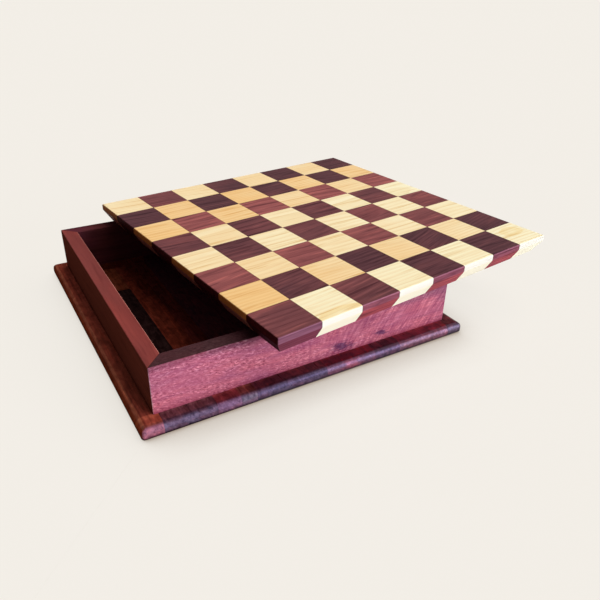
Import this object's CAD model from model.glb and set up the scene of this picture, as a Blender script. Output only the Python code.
import math
import bpy
import numpy as np
from mathutils import Matrix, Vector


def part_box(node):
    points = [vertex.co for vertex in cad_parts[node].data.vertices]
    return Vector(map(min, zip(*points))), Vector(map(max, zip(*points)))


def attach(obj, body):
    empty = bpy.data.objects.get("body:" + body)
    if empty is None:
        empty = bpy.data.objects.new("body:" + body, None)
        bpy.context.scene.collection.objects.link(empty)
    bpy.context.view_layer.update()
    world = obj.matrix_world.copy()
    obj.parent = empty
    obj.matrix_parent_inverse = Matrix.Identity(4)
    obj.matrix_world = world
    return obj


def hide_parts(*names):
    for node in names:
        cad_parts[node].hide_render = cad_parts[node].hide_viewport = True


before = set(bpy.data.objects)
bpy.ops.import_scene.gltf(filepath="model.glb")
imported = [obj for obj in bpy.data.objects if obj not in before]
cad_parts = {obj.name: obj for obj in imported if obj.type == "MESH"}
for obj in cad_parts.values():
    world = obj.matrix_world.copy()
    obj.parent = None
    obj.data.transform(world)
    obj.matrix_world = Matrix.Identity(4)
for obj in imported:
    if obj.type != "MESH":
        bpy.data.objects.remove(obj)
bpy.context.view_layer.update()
mm = 0.001
print("frame loaded")


def nodePoints(node):
    # All corners of a node's mesh, in metres
    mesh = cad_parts[node].data
    points = np.empty(len(mesh.vertices) * 3, np.float32)
    mesh.vertices.foreach_get("co", points)
    return points.reshape(-1, 3).astype(float)


def readBoard():
    # The lid's square: its lowest corner in y is the front left one, its highest in x the front right one
    names = [f"file_{letter}_{tone}" for letter in "abcdefgh" for tone in ("dark", "light")]
    points = np.vstack([nodePoints(name) for name in names])
    frontLeft = points[np.argmin(points[:, 1]), :2]
    frontRight = points[np.argmax(points[:, 0]), :2]
    along = frontRight - frontLeft
    side = float(np.linalg.norm(along))
    turn = math.atan2(along[1], along[0])
    across = np.array([-along[1], along[0]])
    return {
        "side": side,
        "square": side / 8,
        "turn": turn,
        "centre": frontLeft + (along + across) / 2,
        "bottom": float(points[:, 2].min()),
        "top": float(points[:, 2].max()),
    }


board = readBoard()
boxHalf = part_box("wall_front")[1].x
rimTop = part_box("wall_front")[1].z
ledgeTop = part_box("wall_front")[0].z
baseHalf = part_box("base_board_5")[1].y
wallThick = boxHalf - abs(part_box("wall_left")[1].x)
print("board side %.1f mm, turned %.2f degrees" % (board["side"] / mm, math.degrees(board["turn"])))


view = {
    "place": (-0.25210, -0.53803, 0.33321),  # metres
    "heading": 31.370,  # degrees from straight ahead towards the right
    "dip": 29.288,  # degrees below the horizon
    "roll": 1.4115,  # degrees
    "lens": 36.064,  # mm, on a sensor 36 mm wide
}


def setCamera():
    heading, dip, roll = (math.radians(view[key]) for key in ("heading", "dip", "roll"))
    ahead = np.array([
        math.sin(heading) * math.cos(dip),
        math.cos(heading) * math.cos(dip),
        -math.sin(dip),
    ])
    right = np.cross(ahead, (0, 0, 1))
    right /= np.linalg.norm(right)
    up = np.cross(right, ahead)
    tilted = right * math.cos(roll) + up * math.sin(roll)
    upright = up * math.cos(roll) - right * math.sin(roll)
    data = bpy.data.cameras.new("camera")
    data.sensor_width = 36
    data.lens = view["lens"]
    data.clip_start = 0.01
    data.clip_end = 200
    camera = bpy.data.objects.new("camera", data)
    bpy.context.scene.collection.objects.link(camera)
    matrix = np.eye(4)
    matrix[:3, 0], matrix[:3, 1], matrix[:3, 2], matrix[:3, 3] = tilted, upright, -ahead, view["place"]
    camera.matrix_world = Matrix(matrix.tolist())
    bpy.context.scene.camera = camera


setCamera()
print("camera set")


def tint(text):
    # "#rrggbb" as the eye sees it, turned into the linear values that shaders use
    parts = np.array([int(text[i:i + 2], 16) for i in (1, 3, 5)]) / 255
    linear = np.where(parts <= 0.04045, parts / 12.92, ((parts + 0.055) / 1.055) ** 2.4)
    return (*linear.tolist(), 1.0)


def emptyTree(owner):
    # The node tree of a new material or world, cleared
    owner.use_nodes = True
    owner.node_tree.nodes.clear()
    return owner.node_tree


def put(tree, kind, settings, inputs):
    # One shader node: settings are its properties, inputs are values or sockets to link
    node = tree.nodes.new(kind)
    for key, value in settings.items():
        setattr(node, key, value)
    for key, value in inputs.items():
        if isinstance(value, bpy.types.NodeSocket):
            tree.links.new(value, node.inputs[key])
        elif value is not None:
            node.inputs[key].default_value = value
    return node


def calc(tree, operation, first, second=None, third=None, clamp=False):
    settings = {"operation": operation, "use_clamp": clamp}
    return put(tree, "ShaderNodeMath", settings, {0: first, 1: second, 2: third}).outputs[0]


def times(tree, *values):
    # The product of numbers and sockets
    product = values[0]
    for value in values[1:]:
        product = calc(tree, "MULTIPLY", product, value)
    return product


def mix(tree, amount, first, second, blend="MIX"):
    settings = {"data_type": "RGBA", "blend_type": blend}
    return put(tree, "ShaderNodeMix", settings, {0: amount, 6: first, 7: second}).outputs[2]


def tinge(tree, amount, colour, factor):
    # The colour, multiplied by a factor for each of red, green and blue as far as the amount goes
    return mix(tree, amount, colour, (*factor, 1.0), "MULTIPLY")


def stain(tree, colour, value, mark, depth):
    # A mark holds the values where it starts and where it is full, and its factor
    low, high, factor = mark
    return tinge(tree, times(tree, ramp(tree, value, low, high), depth), colour, factor)


def stretch(tree, vector, scales):
    settings = {"operation": "MULTIPLY"}
    return put(tree, "ShaderNodeVectorMath", settings, {0: vector, 1: scales}).outputs[0]


def noise(tree, place, scales, detail=2.0, roughness=0.5, distortion=0.0):
    # The scales say how often it changes per metre, along x, y and z of the place
    inputs = {"Vector": stretch(tree, place, scales), "Scale": 1.0, "Detail": detail,
              "Roughness": roughness, "Distortion": distortion}
    return put(tree, "ShaderNodeTexNoise", {"noise_dimensions": "3D"}, inputs)


def level(tree, place, scales, *kind):
    # Numbers that gather round 0.5
    return noise(tree, place, scales, *kind).outputs["Fac"]


def ramp(tree, value, low, high):
    # 0 at low and beyond, 1 at high and beyond, with a smooth rise between
    settings = {"interpolation_type": "SMOOTHSTEP", "clamp": True}
    inputs = {"Value": value, "From Min": low, "From Max": high, "To Min": 0.0, "To Max": 1.0}
    return put(tree, "ShaderNodeMapRange", settings, inputs).outputs[0]


def attribute(tree, name):
    return put(tree, "ShaderNodeAttribute", {"attribute_name": name}, {})


# What the figure of all woods has in common: changes per metre along the grain, across it and upwards
grainScales = {
    "wander": (7.0, 16.0, 16.0),
    "cloud": (14.0, 30.0, 30.0),
    "patch": (12.0, 75.0, 75.0),
    "fibre": (28.0, 620.0, 620.0),
    "pore": (70.0, 1900.0, 1900.0),
}
# The levels of each that count as none and as full
grainLevels = {
    "cloud": (0.35, 0.65),
    "patch": (0.42, 0.58),
    "pore": (0.6, 0.75),
    "streak": (0.52, 0.72),
    "pale": (0.46, 0.28),
    "ringRise": (0.25, 0.9),  # late wood grows through the ring and stops short of its end
    "ringEnd": (1.0, 0.93),
}
surface = {
    "unevenRough": 0.16,  # how much the roughness changes from fibre to fibre
    "innerRough": 0.95,  # within the box, where nothing is polished
    "poreSink": -0.6,
    "fibreRise": 0.5,
    "bumpHeight": 0.2 * mm,
}


def woodGrain(tree, grain, wood):
    # Yearly rings: distance from the heart, bent by a slow wander
    wander = noise(tree, grain, grainScales["wander"])
    offset = put(tree, "ShaderNodeVectorMath", {"operation": "SUBTRACT"},
                 {0: wander.outputs["Color"], 1: (0.5, 0.5, 0.5)}).outputs[0]
    bent = put(tree, "ShaderNodeVectorMath", {"operation": "MULTIPLY_ADD"},
               {0: offset, 1: (wood["wander"],) * 3, 2: grain}).outputs[0]
    along, across, up = put(tree, "ShaderNodeSeparateXYZ", {}, {0: bent}).outputs
    radius = calc(tree, "SQRT", calc(tree, "MULTIPLY_ADD", up, up, times(tree, across, across)))
    ring = calc(tree, "FRACT", calc(tree, "DIVIDE", radius, wood["ring"]))
    late = ramp(tree, ring, *grainLevels["ringRise"])
    late = times(tree, late, ramp(tree, ring, *grainLevels["ringEnd"]))

    # Long streaks of colour, fine fibres and pores, all drawn out along the grain
    return {
        "late": late,
        "streak": level(tree, bent, wood["streakScale"], 3.0, 0.55, 0.3),
        "fibre": level(tree, grain, grainScales["fibre"], 3.0, 0.6),
        "pore": ramp(tree, level(tree, grain, grainScales["pore"], 1.0), *grainLevels["pore"]),
        "cloud": level(tree, grain, grainScales["cloud"]),
    }


def groundColour(tree, grain, cloud, outside, wood):
    # Two shades that the clouds choose between, or the piece's own tone and the clouds together
    if wood.get("toned"):
        tone = attribute(tree, "tone").outputs["Fac"]
        uneven = calc(tree, "SUBTRACT", cloud, 0.5)
        drift = calc(tree, "MULTIPLY_ADD", uneven, wood["drift"], tone, clamp=True)
    else:
        drift = ramp(tree, cloud, *grainLevels["cloud"])
    colour = mix(tree, drift, tint(wood["ground"]), tint(wood["second"]))
    if "inside" in wood:
        # Within the walls the wood kept its own shade, on the cut ends too
        inner = mix(tree, drift, tint(wood["inside"][0]), tint(wood["inside"][1]))
        colour = mix(tree, outside, inner, colour)
    if "pairedBy" in wood:
        patches = attribute(tree, wood["pairedBy"]).outputs["Fac"]
    else:
        patches = ramp(tree, level(tree, grain, grainScales["patch"]), *grainLevels["patch"])
    for direction, low, high, shade, depth in wood.get("facings", ()):
        amount = times(tree, outside, depth, towards(tree, direction, low, high))
        colour = mix(tree, amount, colour, pairedShade(tree, patches, shade))
    return colour


def grainMarks(tree, colour, figure, wood):
    # Everything else lightens or darkens the ground by a factor
    dark = times(tree, ramp(tree, figure["streak"], *grainLevels["streak"]), wood["streakDepth"])
    pale = times(tree, ramp(tree, figure["streak"], *grainLevels["pale"]), wood["paleDepth"])
    marks = (
        (times(tree, figure["late"], wood["ringDepth"]), wood["late"]),
        (dark, wood["streak"]),
        (pale, wood["pale"]),
        (times(tree, figure["pore"], wood["poreDepth"]), wood["streak"]),
    )
    full = 1.0
    if "plainSide" in wood:
        # One side shows far fewer marks than the rest
        direction, calm = wood["plainSide"]
        full = calc(tree, "MULTIPLY_ADD", towards(tree, direction, 0.2, 0.8), -calm, 1.0)
    for amount, factor in marks:
        colour = tinge(tree, times(tree, amount, full), colour, factor)
    return colour


# Every wooden piece carries a vector attribute "grain": metres along the grain, and sideways and
# upwards from the heart of the tree it was sawn from. The figure is cut out of the round log by
# these three numbers, so faces, edges and ends of a piece show one and the same wood.
def woodMaterial(name, wood):
    material = bpy.data.materials.new(name)
    tree = emptyTree(material)
    grain = wood["grain"](tree) if "grain" in wood else attribute(tree, "grain").outputs["Vector"]
    figure = woodGrain(tree, grain, wood)
    fibre = figure["fibre"]
    rough = calc(tree, "MULTIPLY_ADD", fibre, surface["unevenRough"],
                 wood["rough"] - surface["unevenRough"] / 2)
    outside = 1.0
    if "inside" in wood:
        outside = ramp(tree, attribute(tree, "inside").outputs["Fac"], 0.9, 0.6)
        innerRough = times(tree, calc(tree, "SUBTRACT", 1.0, outside), surface["innerRough"])
        rough = calc(tree, "MAXIMUM", rough, innerRough)

    colour = groundColour(tree, grain, figure["cloud"], outside, wood)
    colour = grainMarks(tree, colour, figure, wood)
    if "figure" in wood:
        colour = wood["figure"](tree, colour, wood)
    lift = calc(tree, "MULTIPLY_ADD", fibre, wood["fibreDepth"], 1.0 - wood["fibreDepth"] / 2)
    grey = put(tree, "ShaderNodeCombineColor", {}, {0: lift, 1: lift, 2: lift}).outputs[0]
    colour = mix(tree, 1.0, colour, grey, "MULTIPLY")
    if "joint" in wood:
        colour = glueLines(tree, colour, wood["joint"])

    sunk = times(tree, figure["pore"], wood["poreDepth"], surface["poreSink"])
    height = calc(tree, "MULTIPLY_ADD", fibre, surface["fibreRise"], sunk)
    bump = put(tree, "ShaderNodeBump", {}, {
        "Strength": wood["bump"], "Distance": surface["bumpHeight"], "Height": height})
    shader = put(tree, "ShaderNodeBsdfPrincipled", {}, {
        "Base Color": colour,
        "Roughness": rough,
        "Specular IOR Level": wood["gloss"],
        "Specular Tint": tint(wood.get("polish", "#ffffff")),
        "Normal": bump.outputs[0],
    })
    put(tree, "ShaderNodeOutputMaterial", {}, {"Surface": shader.outputs[0]})
    return material


def towards(tree, direction, low, high):
    # 1 on the faces that look in one direction, 0 on those that look well away from it
    normal = put(tree, "ShaderNodeTexCoord", {}, {}).outputs["Normal"]
    toward = put(tree, "ShaderNodeVectorMath", {"operation": "DOT_PRODUCT"}, {0: normal, 1: direction})
    return ramp(tree, toward.outputs["Value"], low, high)


def pairedShade(tree, patches, shade):
    # One shade, or two that the patches choose between
    if isinstance(shade, str):
        return tint(shade)
    return mix(tree, patches, tint(shade[0]), tint(shade[1]))


def glueLines(tree, colour, joint):
    # Dark along the joints, by the distances to them in "gapsA" and "gapsB"
    first = put(tree, "ShaderNodeSeparateXYZ", {}, {0: attribute(tree, "gapsA").outputs["Vector"]})
    second = put(tree, "ShaderNodeSeparateXYZ", {}, {0: attribute(tree, "gapsB").outputs["Vector"]})
    nearest = calc(tree, "MINIMUM", calc(tree, "MINIMUM", first.outputs[0], first.outputs[1]),
                   calc(tree, "MINIMUM", second.outputs[0], second.outputs[1]))
    line = times(tree, ramp(tree, nearest, joint["width"], joint["width"] * 0.4), joint["depth"])
    return mix(tree, line, colour, tint(joint["colour"]))


def easedLine(corners, cuts, steps):
    # A line of straight runs whose inner corners become true arcs. Each arc starts and ends one cut
    # from its corner: a rational quadratic curve, its weight the cosine of half the turn.
    corners = np.array(corners, float)
    parts = [corners[:1]]
    t = np.linspace(0, 1, steps + 1)[:, None]
    for before, corner, after, cut in zip(corners[:-2], corners[1:-1], corners[2:], cuts):
        back = (before - corner) / np.linalg.norm(before - corner)
        on = (after - corner) / np.linalg.norm(after - corner)
        start, end = corner + back * cut, corner + on * cut
        weight = math.sqrt(max(0.0, (1 - float(back @ on)) / 2))
        shares = np.hstack([(1 - t) ** 2, 2 * t * (1 - t) * weight, t ** 2])
        parts.append(shares @ np.vstack([start, corner, end]) / shares.sum(1, keepdims=True))
    parts.append(corners[-1:])
    return np.vstack(parts)


def roundedRings(profile, low, high, edges, radius, least, steps):
    # A stack of rings, one for each (inset, height) of the profile. A ring is the rectangle from low
    # to high, drawn in by the inset on the sides named in edges (left, right, front, back). Its
    # corners are arcs where two such sides meet, and as good as sharp elsewhere.
    inset = profile[:, :1]
    left, right, front, back = edges
    lowX, highX = low[0] + left * inset, high[0] - right * inset
    lowY, highY = low[1] + front * inset, high[1] - back * inset
    bend = np.maximum(radius - inset, least)
    sharp = np.full_like(bend, 0.02 * mm)
    corners = ((lowX, lowY, 1, 1, left * front, 180), (highX, lowY, -1, 1, right * front, 270),
               (highX, highY, -1, -1, right * back, 0), (lowX, highY, 1, -1, left * back, 90))
    parts = []
    for x, y, inX, inY, isRound, start in corners:
        r = bend if isRound else sharp
        angle = np.radians(start + np.linspace(0, 90, steps + 1))[None]
        parts.append(np.stack([x + inX * r + r * np.cos(angle), y + inY * r + r * np.sin(angle)], -1))
    flat = np.concatenate(parts, 1)
    height = np.broadcast_to(profile[:, 1][:, None, None], (*flat.shape[:2], 1))
    return np.concatenate([flat, height], -1)


def ringFaces(rings, first):
    # Quads between neighbouring rings, and one flat face on each end of the stack
    count, around = rings.shape[:2]
    index = first + np.arange(count * around).reshape(count, around)
    ahead = np.roll(index, -1, 1)
    quads = np.stack([index[:-1], ahead[:-1], ahead[1:], index[1:]], -1).reshape(-1, 4).tolist()
    return quads + [index[0, ::-1].tolist(), index[-1].tolist()]


def buildPiece(name, shells, fields, material, body, nodes):
    # One mesh object of one or more closed shells. Fields are vector or number attributes, one
    # array for each shell, in the order of its points.
    points = np.vstack([shell.reshape(-1, 3) for shell in shells])
    faces, first = [], 0
    for shell in shells:
        faces += ringFaces(shell, first)
        first += shell.shape[0] * shell.shape[1]
    mesh = bpy.data.meshes.new(name)
    mesh.from_pydata(points.tolist(), [], faces)
    for key, arrays in fields.items():
        values = np.concatenate([np.asarray(a, np.float32) for a in arrays])
        kind = "FLOAT_VECTOR" if values.ndim == 2 else "FLOAT"
        layer = mesh.attributes.new(key, kind, "POINT")
        layer.data.foreach_set("vector" if values.ndim == 2 else "value", values.ravel())
    mesh.shade_smooth()
    mesh.set_sharp_from_angle(angle=math.radians(40))
    mesh.materials.append(material)
    mesh.validate()
    piece = bpy.data.objects.new(name, mesh)
    bpy.context.scene.collection.objects.link(piece)
    even = piece.modifiers.new("evenShading", "WEIGHTED_NORMAL")
    even.keep_sharp = True
    even.weight = 50
    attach(piece, body)
    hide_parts(*nodes)


def grainOf(points, along, heart, shift):
    # Along, across and upwards from the heart, for points whose first three columns are local x, y, z
    ca, sa = math.cos(along), math.sin(along)
    x, y, z = points.reshape(-1, 3).T
    return np.column_stack([x * ca + y * sa + shift, y * ca - x * sa - heart[0], z - heart[1]])


def edgeGaps(points, low, high, isOuter):
    # "gapsA" holds the distances to a piece's left and right sides and "gapsB" those to its front and
    # back ones. A side where the wood ends is taken to be a metre off.
    far = np.full(len(points), 1.0)
    gaps = (points[:, 0] - low[0], high[0] - points[:, 0], points[:, 1] - low[1], high[1] - points[:, 1])
    left, right, front, back = (far if outer else gap for outer, gap in zip(isOuter, gaps))
    return np.column_stack([left, right, far]), np.column_stack([front, back, far])


lid = {
    "undercut": 8 * mm,  # how far the lower edge is cut back
    "band": 6.5 * mm,  # upright part of the edge
    "knee": 1.1 * mm,  # start of the bend above and below the knee
    "arris": 1.5 * mm,  # rounding of the top edge
    "lowerArris": 0.5 * mm,
    "cornerRound": 1.2 * mm,  # upright corners of the board
    # Warmth of the strips that the ranks are cut from, at their left and right ends, front to back:
    # the dark ones from plum to rose, the light ones from cream to honey
    "darkWarmth": ((0.45, -0.3), (0.05, 0.0), (0.9, 0.45), (0.15, 0.6),
                   (0.2, 0.25), (0.9, 0.9), (0.0, 0.0), (0.8, -0.8)),
    "lightWarmth": ((0.05, 0.0), (1.0, 0.3), (0.5, 0.1), (0.45, 0.0),
                    (0.45, 0.0), (1.0, 0.5), (1.1, 0.8), (0.4, 0.6)),
    "jitter": 0.05,
    "seed": 8,
    # From plum to rose on the front edge, file by file
    "edgeTones": (0.0, 1.0, 0.98, 1.0, 0.92, 1.0, 1.15, 1.0),
    # How far the grain strays from the strips' length, in radians, front to back
    "darkStray": (0.04, 0.2, 0.05, 0.06, 0.04, 0.05, 0.15, 0.1),
    "lightStray": (0.03, 0.1, 0.03, 0.03, 0.04, 0.04, 0.04, 0.1),
}
glue = {"width": 0.35 * mm, "depth": 0.7, "colour": "#3a1d12"}
alongBoard = (math.cos(board["turn"]), math.sin(board["turn"]), 0.0)
fromFront = (math.sin(board["turn"]), -math.cos(board["turn"]), 0.0)
fromLeft = tuple(-v for v in alongBoard)
# The undercuts below the front edge and the left edge
underFront = (fromFront[0] * 0.86, fromFront[1] * 0.86, -0.51)
underLeft = (fromLeft[0] * 0.86, fromLeft[1] * 0.86, -0.51)
frontArris = (fromFront[0] * 0.8, fromFront[1] * 0.8, 0.6)  # the rounding of the top edge
darkWood = {
    "ground": "#5c3b42", "second": "#9e5c5d", "toned": True, "drift": 0.7,
    "late": (0.6, 0.55, 0.6), "streak": (0.45, 0.42, 0.47), "pale": (1.6, 1.55, 1.4),
    "ring": 4.2 * mm, "ringDepth": 0.5, "wander": 9 * mm,
    "streakScale": (15.0, 230.0, 230.0), "streakDepth": 0.9, "paleDepth": 0.9,
    "poreDepth": 0.5, "fibreDepth": 0.7,
    "rough": 0.5, "gloss": 0.01, "bump": 0.25, "joint": glue, "pairedBy": "edgeTone",
    "facings": (
        (fromFront, 0.2, 0.8, ("#87586e", "#945464"), 0.85),
        (underFront, 0.92, 0.99, ("#783445", "#ad4f55"), 0.8),
        (fromLeft, 0.2, 0.8, "#300a0b", 1.0),
        (underLeft, 0.88, 0.99, "#210709", 1.0),
        (frontArris, 0.88, 0.99, "#b98299", 0.5),
        (alongBoard, 0.2, 0.8, "#2c1013", 0.8),
    ),
}
lightWood = {
    "ground": "#fffad8", "second": "#f6d094", "toned": True, "drift": 0.5,
    "late": (0.83, 0.64, 0.4), "streak": (0.78, 0.58, 0.32), "pale": (1.0, 1.03, 1.08),
    "ring": 3.8 * mm, "ringDepth": 0.28, "wander": 8 * mm,
    "streakScale": (11.0, 300.0, 300.0), "streakDepth": 0.62, "paleDepth": 0.7,
    "poreDepth": 0.12, "fibreDepth": 0.12, "plainSide": (fromFront, 0.85),
    "rough": 0.5, "gloss": 0.01, "bump": 0.12, "joint": glue,
    "facings": (
        (fromFront, 0.2, 0.8, "#f3f2e6", 1.0),
        (underFront, 0.92, 0.99, "#fffce2", 1.0),
        (fromLeft, 0.2, 0.8, "#8e5329", 1.0),
        (underLeft, 0.88, 0.99, "#6d3e38", 1.0),
        (alongBoard, 0.2, 0.8, "#a8763c", 0.8),
    ),
    # Honey figures in the front rank: centre, half length and half height, strength
    "honey": (
        (158 * mm, -152 * mm, 17 * mm, 11 * mm, 0.5),
        (-112 * mm, -178 * mm, 26 * mm, 10 * mm, 0.55),
    ),
    "honeyFactor": (0.93, 0.76, 0.45), "honeyRagged": (50.0, 120.0, 50.0),
}


def honeyFigure(tree, colour, wood):
    # Ovals where a ring only grazes the surface, deeper in colour towards their rims
    place = attribute(tree, "place").outputs["Vector"]
    split = put(tree, "ShaderNodeSeparateXYZ", {}, {0: place})
    thick = board["top"] - board["bottom"]
    onTop = ramp(tree, split.outputs[2], thick - 1 * mm, thick)
    ragged = calc(tree, "SUBTRACT", level(tree, place, wood["honeyRagged"]), 0.5)
    for x, y, length, height, strength in wood["honey"]:
        dx = calc(tree, "DIVIDE", calc(tree, "SUBTRACT", split.outputs[0], x), length)
        dy = calc(tree, "DIVIDE", calc(tree, "SUBTRACT", split.outputs[1], y), height)
        reach = calc(tree, "SQRT", calc(tree, "MULTIPLY_ADD", dx, dx, times(tree, dy, dy)))
        reach = calc(tree, "MULTIPLY_ADD", ragged, 0.7, reach)
        oval = times(tree, ramp(tree, reach, 1.05, 0.9), ramp(tree, reach, -0.6, 1.0))
        colour = tinge(tree, times(tree, oval, onTop, strength), colour, wood["honeyFactor"])
    return colour


lightWood["figure"] = honeyFigure


def onRim(points):
    # From the board's own axes, centred under it, to its resting place on the rim
    c, s = math.cos(board["turn"]), math.sin(board["turn"])
    turned = points @ np.array([[c, s, 0], [-s, c, 0], [0, 0, 1]])
    return turned + (*board["centre"], board["bottom"])


def makeSquares():
    thick = board["top"] - board["bottom"]
    run = 0.4 * mm
    profile = easedLine(
        [(lid["undercut"] + lid["lowerArris"] + run, 0), (lid["undercut"], 0), (0, thick - lid["band"]),
         (0, thick), (lid["arris"] + run, thick)],
        [lid["lowerArris"], lid["knee"], lid["arris"]], 7)
    chance = np.random.default_rng(lid["seed"])
    hearts = {(rank, tone): (chance.uniform(-0.05, 0.05), -chance.uniform(0.05, 0.14))
              for rank in range(8) for tone in range(2)}
    materials = (woodMaterial("plumWood", darkWood), woodMaterial("creamWood", lightWood))
    half, side = board["side"] / 2, board["square"]
    for column, letter in enumerate("abcdefgh"):
        for tone, word in enumerate(("dark", "light")):
            shells = []
            fields = {"grain": [], "tone": [], "edgeTone": [], "place": [], "gapsA": [], "gapsB": []}
            for rank in range(8):
                if (column + rank) % 2 != tone:
                    continue
                low = np.array([column * side - half, rank * side - half])
                high = low + side
                edges = (column == 0, column == 7, rank == 0, rank == 7)
                rings = roundedRings(profile, low, high, np.array(edges, float),
                                     lid["cornerRound"], 0.5 * mm, 4)
                local = rings.reshape(-1, 3)
                left, right = lid[f"{word}Warmth"][rank]
                warmth = left + (right - left) * (local[:, 0] / (2 * half) + 0.5)
                tilt = chance.normal(0, lid[f"{word}Stray"][rank])
                fields["grain"].append(grainOf(local, tilt, hearts[rank, tone], chance.uniform(0, 0.01)))
                fields["tone"].append(warmth + chance.normal(0, lid["jitter"]))
                fields["edgeTone"].append(np.full(len(local), lid["edgeTones"][column]))
                fields["place"].append(local)
                gapsA, gapsB = edgeGaps(local, low, high, edges)
                fields["gapsA"].append(gapsA)
                fields["gapsB"].append(gapsB)
                shells.append(onRim(rings))
            buildPiece(f"squares_{letter}_{word}", shells, fields, materials[tone], "lid",
                       [f"file_{letter}_{word}"])


makeSquares()
print("chessboard made")


walls = {
    "rimArris": 1 * mm,
    "cornerArris": 1.5 * mm,
    "seed": 5,
}
frontWood = {
    "ground": "#bd667d", "second": "#b9657f",
    "late": (0.7, 0.6, 0.75), "streak": (0.72, 0.62, 0.8), "pale": (1.2, 1.35, 1.2),
    "ring": 7 * mm, "ringDepth": 0.4, "wander": 12 * mm,
    "streakScale": (34.0, 420.0, 420.0), "streakDepth": 0.55, "paleDepth": 0.6,
    "poreDepth": 0.3, "fibreDepth": 0.3,
    "rough": 0.42, "gloss": 0.06, "bump": 0.3, "joint": dict(glue, width=0.3 * mm, depth=0.5),
    "facings": (
        ((0.0, 0.0, 1.0), 0.5, 0.9, "#4e252d", 1.0),
        ((-0.7, -0.7, 0.0), 0.8, 0.97, "#c68f9c", 0.7),
    ),
    # Between these two places along the wall the glints fade and the ripples grow
    "change": (60 * mm, 230 * mm),
    "glintScale": (290.0, 740.0, 740.0), "glintFall": 0.16,
    "glints": (0.5, 0.68, (1.45, 2.2, 1.85)), "gaps": (0.48, 0.28, (0.5, 0.36, 0.42)),
    "calmScale": (26.0, 70.0, 26.0), "calm": (0.38, 0.6), "calmGlints": 0.6,
    "rippleScale": (320.0, 60.0, 160.0), "rippleTurn": (100 * mm, 250 * mm), "rippleLean": (-0.2, 0.65),
    "darkRipples": (0.5, 0.7, (0.74, 0.62, 0.76)), "paleRipples": (0.5, 0.32, (1.22, 1.5, 1.35)),
    "cloudScale": (17.0, 48.0, 17.0), "middle": 25 * mm, "corner": (390 * mm, 520 * mm),
    "purple": (0.48, 0.78, (0.72, 0.84, 0.86)), "rosy": (0.55, 0.3, (1.14, 1.12, 1.0)),
    "raggedScale": (160.0, 420.0, 160.0), "ragged": 8 * mm,
    "lowerEdge": (5 * mm, 0.5 * mm, (0.62, 0.42, 0.5)), "upperEdge": (39 * mm, 45 * mm, (0.55, 0.5, 0.5)),
    # Flecks: place along and up the wall, length and height
    "flecks": ((184 * mm, 7.4 * mm, 26 * mm, 10 * mm), (230 * mm, 8.8 * mm, 17 * mm, 5 * mm)),
    "fleckFall": 0.15, "fleck": (1.35, 0.4, (0.24, 0.27, 0.5)),
}
sideWood = {
    "ground": "#8a4340", "second": "#824341",
    "late": (0.65, 0.6, 0.65), "streak": (0.5, 0.45, 0.5), "pale": (1.4, 1.3, 1.2),
    "ring": 5 * mm, "ringDepth": 0.3, "wander": 9 * mm,
    "streakScale": (12.0, 150.0, 150.0), "streakDepth": 0.4, "paleDepth": 0.4,
    "poreDepth": 0.3, "fibreDepth": 0.25,
    "rough": 0.5, "gloss": 0.0, "bump": 0.25, "joint": dict(glue, width=0.3 * mm, depth=0.5),
    "facings": (
        ((-1.0, 0.0, 0.0), 0.5, 0.9, "#5c2b21", 1.0),
        ((0.7, 0.0, 0.7), 0.8, 0.97, "#c58a7e", 0.6),
    ),
}
backWood = dict(sideWood, ground="#562c2e", second="#5e2e3a", facings=())


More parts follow.
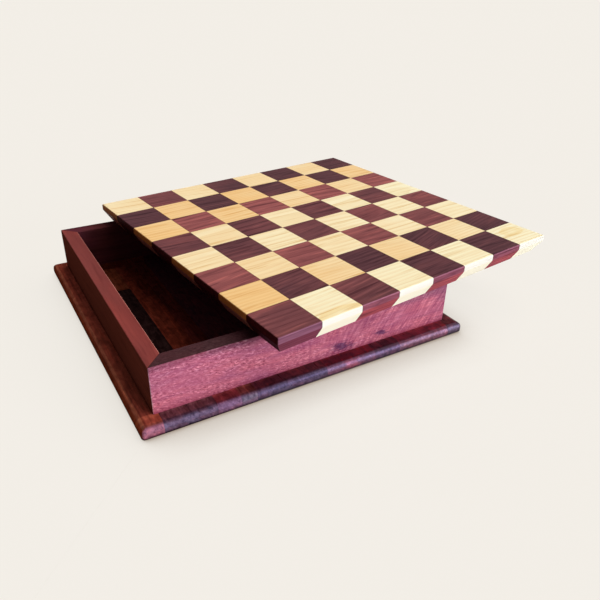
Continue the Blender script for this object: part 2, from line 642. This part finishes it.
def fiddleback(tree, colour, wood):
    # Short glints along the grain that fade towards the right, ripples across it that grow stronger and
    # lean over more towards the right, purple clouds, darker edges and a few dark flecks near the foot
    face = attribute(tree, "face").outputs["Vector"]
    along, up, deep = put(tree, "ShaderNodeSeparateXYZ", {}, {0: face}).outputs
    change = ramp(tree, along, *wood["change"])

    rising = calc(tree, "MULTIPLY_ADD", along, wood["glintFall"], up)
    glintPlace = put(tree, "ShaderNodeCombineXYZ", {}, {0: along, 1: rising, 2: deep}).outputs[0]
    dash = level(tree, glintPlace, wood["glintScale"], 2.0, 0.65, 0.6)
    calm = ramp(tree, level(tree, face, wood["calmScale"], 1.0, 0.5, 0.8), *wood["calm"])
    fade = times(tree, calc(tree, "MULTIPLY_ADD", change, -0.6, 1.0),
                 calc(tree, "MULTIPLY_ADD", calm, 0.75, wood["calmGlints"]))
    colour = stain(tree, colour, dash, wood["glints"], fade)
    colour = stain(tree, colour, dash, wood["gaps"], fade)

    upright, leant = wood["rippleLean"]
    lean = calc(tree, "MULTIPLY_ADD", ramp(tree, along, *wood["rippleTurn"]), leant - upright, upright)
    leaning = calc(tree, "SUBTRACT", along, times(tree, up, lean))
    ripplePlace = put(tree, "ShaderNodeCombineXYZ", {}, {0: leaning, 1: up, 2: deep}).outputs[0]
    ripple = level(tree, ripplePlace, wood["rippleScale"], 2.0, 0.5, 0.5)
    colour = stain(tree, colour, ripple, wood["darkRipples"], change)
    colour = stain(tree, colour, ripple, wood["paleRipples"], change)

    # The clouds gather high up and towards the upper right corner
    cloud = level(tree, face, wood["cloudScale"], 2.0, 0.5, 0.6)
    rise = calc(tree, "MULTIPLY_ADD", calc(tree, "SUBTRACT", up, wood["middle"]), 7.0, cloud)
    corner = ramp(tree, calc(tree, "MULTIPLY_ADD", up, 5.0, along), *wood["corner"])
    gathered = calc(tree, "MULTIPLY_ADD", corner, 0.25, rise)
    colour = stain(tree, colour, gathered, wood["purple"], 1.0)
    colour = stain(tree, colour, rise, wood["rosy"], 1.0)

    ragged = calc(tree, "SUBTRACT", level(tree, face, wood["raggedScale"], 3.0), 0.5)
    tornUp = calc(tree, "MULTIPLY_ADD", ragged, wood["ragged"], up)
    colour = stain(tree, colour, tornUp, wood["lowerEdge"], 0.7)
    colour = stain(tree, colour, tornUp, wood["upperEdge"], 0.75)
    for x, z, length, height in wood["flecks"]:
        dx = calc(tree, "DIVIDE", calc(tree, "SUBTRACT", along, x), length / 2)
        dz = calc(tree, "DIVIDE", calc(tree, "SUBTRACT", up, z), height / 2)
        dz = calc(tree, "MULTIPLY_ADD", dx, wood["fleckFall"] * length / height, dz)
        reach = calc(tree, "SQRT", calc(tree, "MULTIPLY_ADD", dx, dx, times(tree, dz, dz)))
        reach = calc(tree, "MULTIPLY_ADD", ragged, 2.0, reach)
        colour = stain(tree, colour, reach, wood["fleck"], 0.9)
    return colour


frontWood["figure"] = fiddleback


def wallRings():
    # The front wall: its section, carried from mitre to mitre. Stations turn with the outer corners:
    # at the depth d below the outer face they lie on an arc of the corner's radius less d.
    high = rimTop - ledgeTop
    middle = wallThick / 2
    section = easedLine(
        [(middle, high), (0, high), (0, 0), (wallThick, 0), (wallThick, high), (middle, high)],
        [walls["rimArris"], 0.05 * mm, 0.05 * mm, walls["rimArris"]], 6)[:-1]
    depth, height = section[:, 0], section[:, 1]
    bend = np.maximum(walls["cornerArris"] - depth, 0.02 * mm)
    centre = boxHalf - np.maximum(walls["cornerArris"], depth + 0.02 * mm)
    angle = np.radians(np.linspace(45, 0, 6))[:, None]
    leftX, leftY = -centre - bend * np.sin(angle), -centre - bend * np.cos(angle)
    x = np.vstack([leftX, -leftX[::-1]])
    y = np.vstack([leftY, leftY[::-1]])
    z = np.broadcast_to(height + ledgeTop, x.shape)
    return np.stack([x, y, z], -1)


def makeWalls():
    rings = wallRings()
    chance = np.random.default_rng(walls["seed"])
    frontLook = woodMaterial("rippledPinkWood", frontWood)
    sideLook = woodMaterial("redBrownWood", sideWood)
    backLook = woodMaterial("maroonWood", backWood)
    sides = (("front", 0, frontLook, "wall_front"), ("right", 90, sideLook, "wall_side"),
             ("back", 180, backLook, "wall_back"), ("left", 270, sideLook, "wall_side"))
    for side, turn, material, slot in sides:
        local = rings.reshape(-1, 3)
        heart = (-boxHalf + chance.uniform(-0.05, 0.02), -chance.uniform(0.06, 0.1))
        grain = grainOf(local, 0, heart, turn * 0.013)
        face = np.column_stack([local[:, 0] + boxHalf, local[:, 2] - ledgeTop, local[:, 1] + boxHalf])
        c, s = round(math.cos(math.radians(turn))), round(math.sin(math.radians(turn)))
        turned = rings @ np.array([[c, s, 0], [-s, c, 0], [0, 0, 1.0]])
        # Distances to the mitres, which run at 45 degrees through the corners
        far = np.full(len(local), 1.0)
        mitres = np.column_stack([local[:, 0] - local[:, 1], -local[:, 0] - local[:, 1]]) / math.sqrt(2)
        fields = {"grain": [grain], "face": [face], "gapsA": [np.column_stack([mitres, far])],
                  "gapsB": [np.column_stack([far, far, far])]}
        buildPiece(f"wall_panel_{side}", [turned], fields, material, "box", [f"wall_{side}"])


makeWalls()
print("walls made")


base = {
    "noseTop": 6 * mm,
    "noseBottom": 3 * mm,
    "cornerRound": 3 * mm,
    "leastRound": 1.6 * mm,
    "seed": 3,
}
plankWood = {
    "late": (0.65, 0.6, 0.65), "streak": (0.45, 0.4, 0.45), "pale": (1.6, 1.4, 1.25),
    "ring": 4.5 * mm, "ringDepth": 0.3, "wander": 9 * mm,
    "streakScale": (14.0, 330.0, 330.0), "streakDepth": 0.75, "paleDepth": 0.75,
    "poreDepth": 0.3, "fibreDepth": 0.5,
    "rough": 0.3, "polish": "#c9c3ff", "bump": 0.2,
    "joint": dict(glue, width=0.3 * mm, depth=0.25, colour="#1c0c0e"),
    "blotchScale": (190.0, 95.0, 190.0),
    "darkBlotches": (0.5, 0.64, (0.5, 0.45, 0.47)), "paleBlotches": (0.5, 0.36, (1.6, 1.7, 1.65)),
    # Slanting marks on the end grain: changes per metre down and across the slant, and along the board
    "slantScale": (110.0, 460.0, 60.0), "slantDepth": 0.4,
    "darkSlants": (0.52, 0.68, (0.5, 0.45, 0.55)), "paleSlants": (0.48, 0.32, (1.5, 1.5, 1.45)),
    "raggedScale": (160.0, 160.0, 300.0), "ragged": 20 * mm,
    "bend": (0.64, 0.76, 0.9),  # the front edge is worn darker where the ledge turns down
    # The pink front wall glows back from the polished ledge close before it
    "glowReach": 4.5 * mm, "glow": (1.55, 1.75, 1.6),
    # The foot of the edge is dark with old wax, up to a ragged line
    "foot": (5.2 * mm, 2.2 * mm, (0.22, 0.18, 0.2)), "footRagged": 2 * mm,
    "under": "#24161a",
}
# The boards of the base. "mottle" says how blotchy a board is. "along" holds the two shades of the
# long grain, "end" those of the end grain, which drank more oil and shows on the front and back
# edges, "inside" those of the floor within the walls, and "shine" is the soft light along the
# rounding. "turnsAt" says where on the rounding one shade goes over into the other, as cosines of
# the slope. "facings" are further shades by direction, here for the left edge. A patch is a place
# on the front edge with a shade of its own: centre and half width along x, and the factor that its
# colour is multiplied by.
planks = {
    "1": {"gloss": 0.0, "mottle": 0.45, "along": ("#944437", "#7e3c2f"), "end": ("#a2667a", "#986276"),
          "shine": "#a8748c", "slot": "base_red", "facings": (
              ((-1.0, 0.0, 0.0), 0.5, 0.95, "#72311b", 0.9),
              ((-0.5, 0.0, 0.87), 0.95, 0.995, "#a8624b", 0.6),
          )},
    "2_front": {"gloss": 0.0, "mottle": 0.8, "along": ("#502b34", "#5b323a"),
                "end": ("#684e60", "#5a5066"), "inside": ("#261718", "#1c1011"),
                "shine": "#786a8a", "slot": "base_purple"},
    "2_back": {"gloss": 0.0, "mottle": 0.6, "along": ("#763020", "#6a2a1c"),
               "end": ("#93566e", "#85506a"), "inside": ("#6e3422", "#5c2c1e"),
               "shine": "#a07890", "slot": "base_red"},
    "3": {"gloss": 0.0, "mottle": 0.65, "along": ("#64252c", "#732c32"), "end": ("#92687c", "#80607c"),
          "inside": ("#703023", "#6a2c20"), "shine": "#886c90", "slot": "base_red"},
    "4": {"gloss": 0.0, "mottle": 0.5, "along": ("#502823", "#6b3333"), "end": ("#705f78", "#7c6376"),
          "inside": ("#703029", "#602824"), "shine": "#807c91", "slot": "base_red"},
    "5": {"gloss": 0.2, "mottle": 1.0, "along": ("#461a20", "#521d22"), "end": ("#5c445a", "#50465c"),
          "inside": ("#361318", "#40161a"), "shine": "#605474", "slot": "base_purple"},
    "6": {"gloss": 0.3, "mottle": 0.9, "along": ("#631015", "#54121a"), "end": ("#704254", "#583c50"),
          "inside": ("#4c0e12", "#400f15"), "patches": ((31 * mm, 8 * mm, (1.7, 1.15, 1.05)),),
          "shine": "#8c7090", "slot": "base_red"},
    "7": {"gloss": 0.24, "mottle": 1.0, "along": ("#3e1017", "#46131b"), "end": ("#523246", "#443046"),
          "turnsAt": (0.54, 0.82), "shine": "#7e6688", "slot": "base_purple"},
    "8": {"gloss": 0.24, "mottle": 1.0, "along": ("#5c171f", "#661c27"), "end": ("#603844", "#50364a"),
          "patches": ((143 * mm, 9 * mm, (1.35, 1.25, 1.3)),), "turnsAt": (0.58, 0.84),
          "shine": "#a88298", "slot": "base_red"},
    "9": {"gloss": 0.24, "mottle": 1.0, "along": ("#4d161f", "#451420"), "end": ("#523c4a", "#4a3c4e"),
          "turnsAt": (0.52, 0.82), "shine": "#8c7a96", "slot": "base_purple"},
}


def edgeFigure(tree, colour, wood):
    # Blotches on every face, fine slanting marks on the end grain, places on the front edge with a
    # shade of their own, the worn bend and the glow at the front, and the dark foot
    texture = put(tree, "ShaderNodeTexCoord", {}, {})
    place = texture.outputs["Object"]
    x, y, z = put(tree, "ShaderNodeSeparateXYZ", {}, {0: place}).outputs
    normal = put(tree, "ShaderNodeSeparateXYZ", {}, {0: texture.outputs["Normal"]})
    ends = ramp(tree, calc(tree, "ABSOLUTE", normal.outputs[1]), 0.3, 0.7)

    blotch = level(tree, place, wood["blotchScale"], 3.0, 0.6, 0.6)
    depth = times(tree, calc(tree, "MULTIPLY_ADD", ends, -0.5, 1.0), wood["mottle"])
    colour = stain(tree, colour, blotch, wood["darkBlotches"], depth)
    colour = stain(tree, colour, blotch, wood["paleBlotches"], depth)

    down, across = calc(tree, "SUBTRACT", x, z), calc(tree, "ADD", x, z)
    slanted = put(tree, "ShaderNodeCombineXYZ", {}, {0: down, 1: across, 2: y}).outputs[0]
    slant = level(tree, slanted, wood["slantScale"])
    depth = times(tree, ends, wood["slantDepth"])
    colour = stain(tree, colour, slant, wood["darkSlants"], depth)
    colour = stain(tree, colour, slant, wood["paleSlants"], depth)

    ragged = calc(tree, "SUBTRACT", level(tree, place, wood["raggedScale"], 3.0), 0.5)
    atFront = ramp(tree, y, -baseHalf + 6 * mm, -baseHalf + 4 * mm)
    for centre, half, factor in wood["patches"]:
        away = calc(tree, "ABSOLUTE", calc(tree, "SUBTRACT", x, centre))
        away = calc(tree, "MULTIPLY_ADD", ragged, wood["ragged"], away)
        colour = stain(tree, colour, away, (half * 1.5, half * 0.4, factor), atFront)

    upward = normal.outputs[2]
    bend = times(tree, ramp(tree, upward, 0.6, 0.9), ramp(tree, upward, 0.999, 0.96),
                 ramp(tree, y, -baseHalf + 7 * mm, -baseHalf + 6 * mm))
    colour = tinge(tree, bend, colour, wood["bend"])
    glow = times(tree, ramp(tree, y, -boxHalf - wood["glowReach"], -boxHalf - 0.5 * mm),
                 ramp(tree, y, -boxHalf + 3 * mm, -boxHalf + 1 * mm))
    colour = tinge(tree, glow, colour, wood["glow"])

    apart = put(tree, "ShaderNodeVectorMath", {"operation": "ABSOLUTE"}, {0: place}).outputs[0]
    apartX, apartY = put(tree, "ShaderNodeSeparateXYZ", {}, {0: apart}).outputs[:2]
    outer = ramp(tree, calc(tree, "MAXIMUM", apartX, apartY), boxHalf, boxHalf + 3 * mm)
    rise = calc(tree, "MULTIPLY_ADD", ragged, wood["footRagged"], z)
    return stain(tree, colour, rise, wood["foot"], times(tree, outer, 0.95))


def plankMaterial(number):
    plank = planks[number]
    low, high = plank.get("turnsAt", (0.35, 0.75))
    ends = [((0.0, side, 0.0), low, high, plank["end"], 0.85) for side in (-1.0, 1.0)]
    ends += [((0.0, side * 0.92, 0.39), 0.9, 0.995, plank["shine"], 0.6) for side in (-1.0, 1.0)]
    under = ((0.0, 0.0, -1.0), 0.05, 0.7, plankWood["under"], 0.85)
    return woodMaterial(f"plankWood{number}", dict(
        plankWood, gloss=plank["gloss"], ground=plank["along"][0], second=plank["along"][1],
        inside=plank.get("inside", plank["along"]), facings=(*ends, under, *plank.get("facings", ())),
        mottle=plank["mottle"], patches=plank.get("patches", ()), figure=edgeFigure))


def recessFloor():
    # Inside the walls the base is cut down to a lower floor
    points = nodePoints("base_board_5")
    atWall = np.abs(np.abs(points[:, 1]) - (boxHalf - wallThick)) < 0.1 * mm
    return float(points[atWall & (points[:, 2] > 0.5 * mm), 2].min())


def plankCells(low, high, floor):
    # A board in rectangles with a height each, cut where the recess starts
    inner = boxHalf - wallThick
    cutsX = sorted({low.x, high.x, *(c for c in (-inner, inner) if low.x < c < high.x)})
    cutsY = sorted({low.y, high.y, *(c for c in (-inner, inner) if low.y < c < high.y)})
    cells = []
    for x0, x1 in zip(cutsX[:-1], cutsX[1:]):
        if abs(x0 + x1) / 2 > inner:
            cells.append((x0, low.y, x1, high.y, ledgeTop))
            continue
        for y0, y1 in zip(cutsY[:-1], cutsY[1:]):
            cells.append((x0, y0, x1, y1, floor if abs(y0 + y1) / 2 < inner else ledgeTop))
    return cells


def makeBase():
    run = 0.5 * mm
    profile = easedLine(
        [(base["noseBottom"] + run, 0), (0, 0), (0, ledgeTop), (base["noseTop"] + run, ledgeTop)],
        [base["noseBottom"], base["noseTop"]], 10)
    floor = recessFloor()
    chance = np.random.default_rng(base["seed"])
    for number in planks:
        node = f"base_board_{number}"
        low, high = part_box(node)
        heart = ((low.x + high.x) / 2 + chance.uniform(-0.03, 0.03), -chance.uniform(0.03, 0.09))
        tilt, shift = chance.normal(0, 0.01), chance.uniform(0, 1)
        isOuter = (low.x < -baseHalf + mm, high.x > baseHalf - mm,
                   low.y < -baseHalf + mm, high.y > baseHalf - mm)
        shells, fields = [], {"grain": [], "inside": [], "gapsA": [], "gapsB": []}
        for x0, y0, x1, y1, height in plankCells(low, high, floor):
            edges = np.array([x0 < -baseHalf + mm, x1 > baseHalf - mm,
                              y0 < -baseHalf + mm, y1 > baseHalf - mm], float)
            cellProfile = profile if height == ledgeTop else np.array([[0, 0], [0, height]])
            rings = roundedRings(cellProfile, (x0, y0), (x1, y1), edges,
                                 base["cornerRound"], base["leastRound"], 6)
            local = rings.reshape(-1, 3)
            gapsA, gapsB = edgeGaps(local, low, high, isOuter)
            shells.append(rings)
            fields["grain"].append(grainOf(local[:, [1, 0, 2]], tilt, heart, shift))
            fields["inside"].append(np.abs(local[:, :2]).max(1) < boxHalf - wallThick + 0.1 * mm)
            fields["gapsA"].append(gapsA)
            fields["gapsB"].append(gapsB)
        buildPiece(f"base_plank_{number}", shells, fields, plankMaterial(number), "box", [node])


makeBase()
print("base made")


def cleatGrain(tree):
    # Object coordinates turned so that x runs along the cleats
    place = put(tree, "ShaderNodeTexCoord", {}, {}).outputs["Object"]
    return put(tree, "ShaderNodeMapping", {"vector_type": "TEXTURE"}, {
        "Vector": place,
        "Location": (*board["centre"], board["bottom"] - 60 * mm),
        "Rotation": (0, 0, board["turn"] + math.pi / 2),
    }).outputs[0]


cleatWood = {
    "grain": cleatGrain,
    "ground": "#7d4636", "second": "#8a4f3c",
    "late": (0.65, 0.6, 0.6), "streak": (0.5, 0.45, 0.45), "pale": (1.4, 1.3, 1.2),
    "ring": 4 * mm, "ringDepth": 0.3, "wander": 8 * mm,
    "streakScale": (12.0, 150.0, 150.0), "streakDepth": 0.45, "paleDepth": 0.4,
    "poreDepth": 0.35, "fibreDepth": 0.22,
    "rough": 0.55, "gloss": 0.2, "bump": 0.3,
}
brass = {
    "colour": "#c9a04e", "worn": "#8f6d32", "rough": 0.3,
    "hazeScale": (700.0, 700.0, 700.0), "scratchScale": (900.0, 5200.0, 900.0),
}


def brassMaterial():
    material = bpy.data.materials.new("screwBrass")
    tree = emptyTree(material)
    place = put(tree, "ShaderNodeTexCoord", {}, {}).outputs["Object"]
    haze = level(tree, place, brass["hazeScale"], 3.0)
    scratch = level(tree, place, brass["scratchScale"])
    colour = mix(tree, ramp(tree, haze, 0.4, 0.7), tint(brass["colour"]), tint(brass["worn"]))
    bump = put(tree, "ShaderNodeBump", {}, {"Strength": 0.2, "Distance": 0.0001, "Height": scratch})
    shader = put(tree, "ShaderNodeBsdfPrincipled", {}, {
        "Base Color": colour,
        "Metallic": 1.0,
        "Roughness": calc(tree, "MULTIPLY_ADD", haze, 0.3, brass["rough"] - 0.1),
        "Normal": bump.outputs[0],
    })
    put(tree, "ShaderNodeOutputMaterial", {}, {"Surface": shader.outputs[0]})
    return material


def dressNode(node, material):
    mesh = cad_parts[node].data
    mesh.materials.clear()
    mesh.materials.append(material)


cleatLook = woodMaterial("cleatWood", cleatWood)
for node in ("lid_cleat_left", "lid_cleat_right"):
    dressNode(node, cleatLook)
dressNode("lid_screws", brassMaterial())
print("cleats and screws dressed")


studio = {
    "backdrop": "#f3efe8",
    "floorHalf": 40.0,  # metres
    "floorDrop": 0.2 * mm,
    "floorGrey": 0.75,  # what the floor gives back to the object
    "ownLight": 0.9,  # share of the floor's seen colour that no lamp's shadow reaches
    "contactReach": 53 * mm,  # how far the soft shade round the foot of the object goes
    "contactDepth": 0.92,
    "contactFall": 1.45,  # above 1 it fades sooner
    "contactTowards": (-0.42, 0.56, 0.71),  # where the shade looks for what keeps the light off
    "contactColour": (0.17, 0.07, 0.0, 1.0),
    "sky": 0.14,  # strength of the even light from all round
    "lamps": (
        # name, degrees to the right of the front, degrees up, width in degrees, strength, colour
        ("windowLamp", 36, 6, 36, 3.12, "#f1f1ff"),
        ("topLamp", 82, 60, 70, 2.62, "#fff6ea"),
    ),
}


def backdropColour(tree, dim):
    # The backdrop's own colour for what is seen directly, mirrored or through glass, dim for the rest
    path = put(tree, "ShaderNodeLightPath", {}, {})
    seen = calc(tree, "MAXIMUM", path.outputs["Is Camera Ray"],
                calc(tree, "MAXIMUM", path.outputs["Is Glossy Ray"], path.outputs["Is Transmission Ray"]))
    return seen, mix(tree, seen, dim, tint(studio["backdrop"]))


def makeStudio():
    half, height = studio["floorHalf"], -studio["floorDrop"]
    corners = [(-half, -half, height), (half, -half, height), (half, half, height), (-half, half, height)]
    mesh = bpy.data.meshes.new("floor")
    mesh.from_pydata(corners, [], [(0, 1, 2, 3)])
    floor = bpy.data.objects.new("floor", mesh)
    bpy.context.scene.collection.objects.link(floor)
    material = bpy.data.materials.new("floor")
    tree = emptyTree(material)
    grey = (studio["floorGrey"],) * 3 + (1.0,)
    seen, colour = backdropColour(tree, grey)
    x, y, z = studio["contactTowards"]
    aim = put(tree, "ShaderNodeCombineXYZ", {}, {0: x, 1: y, 2: z}).outputs[0]
    openness = put(tree, "ShaderNodeAmbientOcclusion", {"samples": 16},
                   {"Distance": studio["contactReach"], "Normal": aim})
    closed = calc(tree, "SUBTRACT", 1.0, openness.outputs["AO"])
    closed = calc(tree, "POWER", closed, studio["contactFall"])
    shade = times(tree, closed, studio["contactDepth"], seen)
    colour = mix(tree, shade, colour, studio["contactColour"])
    diffuse = put(tree, "ShaderNodeBsdfDiffuse", {}, {"Color": colour})
    glow = put(tree, "ShaderNodeEmission", {}, {"Color": colour, "Strength": 1.0})
    share = times(tree, seen, studio["ownLight"])
    surface = put(tree, "ShaderNodeMixShader", {}, {0: share, 1: diffuse.outputs[0], 2: glow.outputs[0]})
    put(tree, "ShaderNodeOutputMaterial", {}, {"Surface": surface.outputs[0]})
    mesh.materials.append(material)

    world = bpy.data.worlds.new("studio")
    tree = emptyTree(world)
    dim = (studio["sky"],) * 3 + (1.0,)
    colour = backdropColour(tree, dim)[1]
    light = put(tree, "ShaderNodeBackground", {}, {"Color": colour, "Strength": 1.0})
    put(tree, "ShaderNodeOutputWorld", {}, {"Surface": light.outputs[0]})
    bpy.context.scene.world = world

    for name, right, up, width, strength, colour in studio["lamps"]:
        data = bpy.data.lights.new(name, "SUN")
        data.energy = strength
        data.angle = math.radians(width)
        data.color = tint(colour)[:3]
        lamp = bpy.data.objects.new(name, data)
        lamp.rotation_euler = (math.radians(90 - up), 0, math.radians(right))
        bpy.context.scene.collection.objects.link(lamp)


makeStudio()
bpy.context.scene.view_settings.view_transform = "Standard"
print("studio made")
